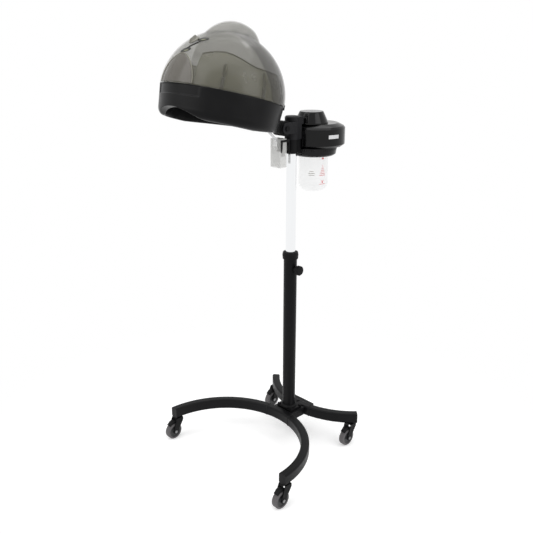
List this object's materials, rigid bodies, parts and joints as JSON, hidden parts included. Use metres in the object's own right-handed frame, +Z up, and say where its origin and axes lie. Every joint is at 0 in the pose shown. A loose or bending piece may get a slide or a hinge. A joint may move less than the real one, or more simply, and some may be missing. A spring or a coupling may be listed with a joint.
{
  "type": "hood hair dryer",
  "caption": "Salon hood hair steamer: tinted dome hood on a tilting neck, steam head with water bottle, telescopic mast and curved four-arm caster base.",
  "frame": {"origin": "on the floor, at the centre of the bounding box's footprint", "axes": "+Z up, -Y towards the client's side, where the hood hangs, +X to the right of someone who looks along +Y"},
  "size_m": [0.4916, 0.5781, 1.2106],
  "materials": {
    "painted_steel": "satin powder coat",
    "black_plastic": "gloss moulding",
    "matt_black_plastic": "fine texture",
    "dark_grey_plastic": "fine texture",
    "smoked_clear": "smoked transparent moulding",
    "clear_plastic": "clear moulding",
    "milky_clear": "milky transparent moulding",
    "chrome": "polished",
    "zinc_steel": "zinc plated",
    "aluminium": "cast",
    "nylon": "moulded",
    "tyre_rubber": "matt grey",
    "seal_rubber": "matt silicone",
    "lamp_red": "clear red lens",
    "plate_grey": "satin blank plate"
  },
  "bodies": {
    "stand": {"base_hub": "painted_steel", "arm_front_left": "painted_steel", "arm_front_right": "painted_steel", "arm_rear_left": "painted_steel", "arm_rear_right": "painted_steel", "arm_end_caps": "matt_black_plastic", "stem_bushes": "matt_black_plastic", "hub_bolts": "zinc_steel", "outer_column": "painted_steel", "column_foot_ring": "matt_black_plastic", "column_collar": "matt_black_plastic", "guide_bush": "nylon"},
    "caster_front_left": {"caster_fork_front_left": "matt_black_plastic", "caster_axle_front_left": "zinc_steel"},
    "wheel_front_left": {"wheel_core_front_left": "dark_grey_plastic", "tyre_front_left": "tyre_rubber"},
    "caster_front_right": {"caster_fork_front_right": "matt_black_plastic", "caster_axle_front_right": "zinc_steel"},
    "wheel_front_right": {"wheel_core_front_right": "dark_grey_plastic", "tyre_front_right": "tyre_rubber"},
    "caster_rear_left": {"caster_fork_rear_left": "matt_black_plastic", "caster_axle_rear_left": "zinc_steel"},
    "wheel_rear_left": {"wheel_core_rear_left": "dark_grey_plastic", "tyre_rear_left": "tyre_rubber"},
    "caster_rear_right": {"caster_fork_rear_right": "matt_black_plastic", "caster_axle_rear_right": "zinc_steel"},
    "wheel_rear_right": {"wheel_core_rear_right": "dark_grey_plastic", "tyre_rear_right": "tyre_rubber"},
    "lock": {"lock_knob": "matt_black_plastic", "lock_stud": "zinc_steel"},
    "mast": {"chrome_tube": "chrome"},
    "head": {"mast_socket": "matt_black_plastic", "head_sleeve": "dark_grey_plastic", "head_lower_shell": "black_plastic", "head_upper_shell": "black_plastic", "name_plate": "plate_grey", "indicator_lens": "lamp_red", "power_inlet": "matt_black_plastic", "boiler": "aluminium", "heater_ring": "zinc_steel", "boiler_gasket": "seal_rubber", "steam_pipe": "zinc_steel", "head_screws": "zinc_steel", "tilt_pin": "zinc_steel", "cup_holder": "matt_black_plastic"},
    "cap": {"top_cap": "black_plastic"},
    "switch": {"power_switch": "matt_black_plastic"},
    "bottle": {"bottle_ring": "black_plastic", "water_bottle": "clear_plastic"},
    "cup": {"drip_cup": "milky_clear"},
    "tilt_clamp": {"tilt_knob": "matt_black_plastic"},
    "hood": {"hood_neck": "matt_black_plastic", "drain_tube": "clear_plastic", "hood_collar": "black_plastic", "dome_shell": "smoked_clear", "crown_scoop": "smoked_clear", "face_visor": "smoked_clear", "steam_diffuser": "smoked_clear", "seam_clips": "matt_black_plastic"},
    "vent": {"vent_dial": "smoked_clear"}
  },
  "joints": [
    {"name": "swivel_front_left", "type": "hinge", "parent": "stand", "child": "caster_front_left", "pos_m": [-0.23125, -0.14038, 0.075], "axis": [0, 0, 1], "continuous": true},
    {"name": "roll_front_left", "type": "hinge", "parent": "caster_front_left", "child": "wheel_front_left", "pos_m": [-0.23125, -0.16038, 0.025], "axis": [1, 0, 0], "continuous": true},
    {"name": "swivel_front_right", "type": "hinge", "parent": "stand", "child": "caster_front_right", "pos_m": [0.23125, -0.14038, 0.075], "axis": [0, 0, 1], "continuous": true},
    {"name": "roll_front_right", "type": "hinge", "parent": "caster_front_right", "child": "wheel_front_right", "pos_m": [0.23125, -0.16038, 0.025], "axis": [1, 0, 0], "continuous": true},
    {"name": "swivel_rear_left", "type": "hinge", "parent": "stand", "child": "caster_rear_left", "pos_m": [-0.16055, 0.21356, 0.075], "axis": [0, 0, 1], "continuous": true},
    {"name": "roll_rear_left", "type": "hinge", "parent": "caster_rear_left", "child": "wheel_rear_left", "pos_m": [-0.16055, 0.19356, 0.025], "axis": [1, 0, 0], "continuous": true},
    {"name": "swivel_rear_right", "type": "hinge", "parent": "stand", "child": "caster_rear_right", "pos_m": [0.16055, 0.21356, 0.075], "axis": [0, 0, 1], "continuous": true},
    {"name": "roll_rear_right", "type": "hinge", "parent": "caster_rear_right", "child": "wheel_rear_right", "pos_m": [0.16055, 0.19356, 0.025], "axis": [1, 0, 0], "continuous": true},
    {"name": "lock_turn", "type": "hinge", "parent": "stand", "child": "lock", "pos_m": [0.03, 0.10804, 0.545], "axis": [1, 0, 0], "range_deg": [-180, 180]},
    {"name": "mast_slide", "type": "slide", "parent": "stand", "child": "mast", "axis": [0, 0, 1], "range_m": [-0.245, 0.06]},
    {"name": "head_swivel", "type": "hinge", "parent": "mast", "child": "head", "pos_m": [0, 0.10804, 0.89], "axis": [0, 0, 1], "range_deg": [-170, 170]},
    {"name": "hood_tilt", "type": "hinge", "parent": "head", "child": "hood", "pos_m": [0, 0.06804, 0.945], "axis": [-1, 0, 0], "range_deg": [-15, 40]},
    {"name": "tilt_knob_turn", "type": "hinge", "parent": "head", "child": "tilt_clamp", "pos_m": [-0.03, 0.06804, 0.945], "axis": [1, 0, 0], "range_deg": [-90, 90]},
    {"name": "cap_lift", "type": "slide", "parent": "head", "child": "cap", "axis": [0, 0, 1], "range_m": [0, 0.03]},
    {"name": "switch_rock", "type": "hinge", "parent": "head", "child": "switch", "pos_m": [-0.075, 0.20904, 0.908], "axis": [0, 1, 0], "range_deg": [0, 10]},
    {"name": "bottle_lower", "type": "slide", "parent": "head", "child": "bottle", "axis": [0, 0, -1], "range_m": [0, 0.07]},
    {"name": "cup_lower", "type": "slide", "parent": "head", "child": "cup", "axis": [0, 0, -1], "range_m": [0, 0.05]},
    {"name": "vent_turn", "type": "hinge", "parent": "hood", "child": "vent", "pos_m": [0, -0.21498, 1.16706], "axis": [0, -0.5299, 0.848], "range_deg": [0, 90]}
  ]
}
